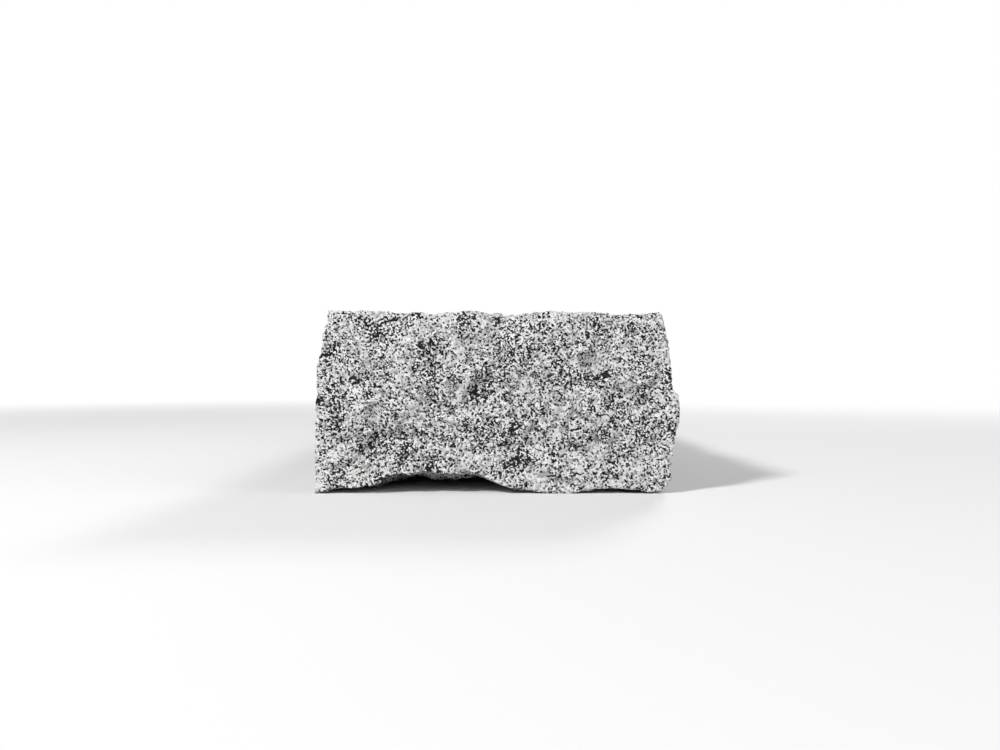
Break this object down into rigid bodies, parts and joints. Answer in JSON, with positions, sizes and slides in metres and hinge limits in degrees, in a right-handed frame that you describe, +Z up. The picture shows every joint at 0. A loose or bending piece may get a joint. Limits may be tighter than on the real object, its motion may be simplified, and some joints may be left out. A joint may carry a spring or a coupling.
{
  "type": "granite kerb stone",
  "caption": "Rough-split granite kerb stone lying flat: a long block with split faces, chipped arrises and a broken hollow under its near end.",
  "frame": {"origin": "centre of the stone's outline, on the floor under its bed", "axes": "+Z up from the bed, Y along the stone's length with its near end facing -Y, X across its width"},
  "size_m": [0.3, 0.9986, 0.1502],
  "materials": {
    "granite": "rough split, matt with glinting crystal faces"
  },
  "bodies": {
    "root": {"kerb_stone": "granite"}
  },
  "joints": []
}
